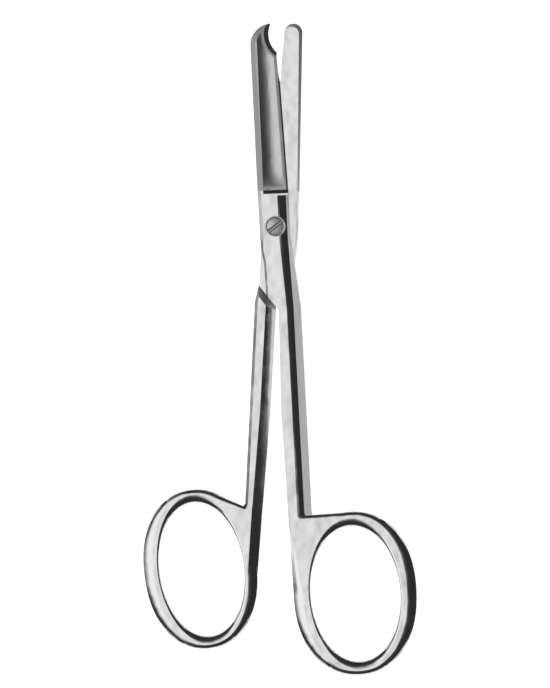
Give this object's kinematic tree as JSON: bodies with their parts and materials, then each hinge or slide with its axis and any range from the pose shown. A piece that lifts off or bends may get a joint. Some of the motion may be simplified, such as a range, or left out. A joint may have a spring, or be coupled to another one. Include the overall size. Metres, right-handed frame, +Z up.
{
  "type": "suture scissors",
  "caption": "Slim straight scissors for taking out stitches: a hooked blade lifts the thread and cuts it against a plain round-tipped blade; long shanks end in oval finger rings.",
  "frame": {"origin": "on the pivot axis, at the flat underside of the joint", "axes": "+Z up along the pivot with the scissors lying flat, +Y towards the blade tips, +X towards the side of the upper half's finger ring"},
  "size_m": [0.0547, 0.1303, 0.0043],
  "materials": {
    "forged_steel": "polished",
    "screw_steel": "satin"
  },
  "bodies": {
    "plain_half": {"plain_blade_half": "forged_steel", "pivot_screw": "screw_steel"},
    "hook_half": {"hook_blade_half": "forged_steel"}
  },
  "joints": [
    {"name": "blade_pivot", "type": "hinge", "parent": "plain_half", "child": "hook_half", "pos_m": [0, 0, 0.0021], "axis": [0, 0, 1], "range_deg": [-4.9, 130]}
  ]
}
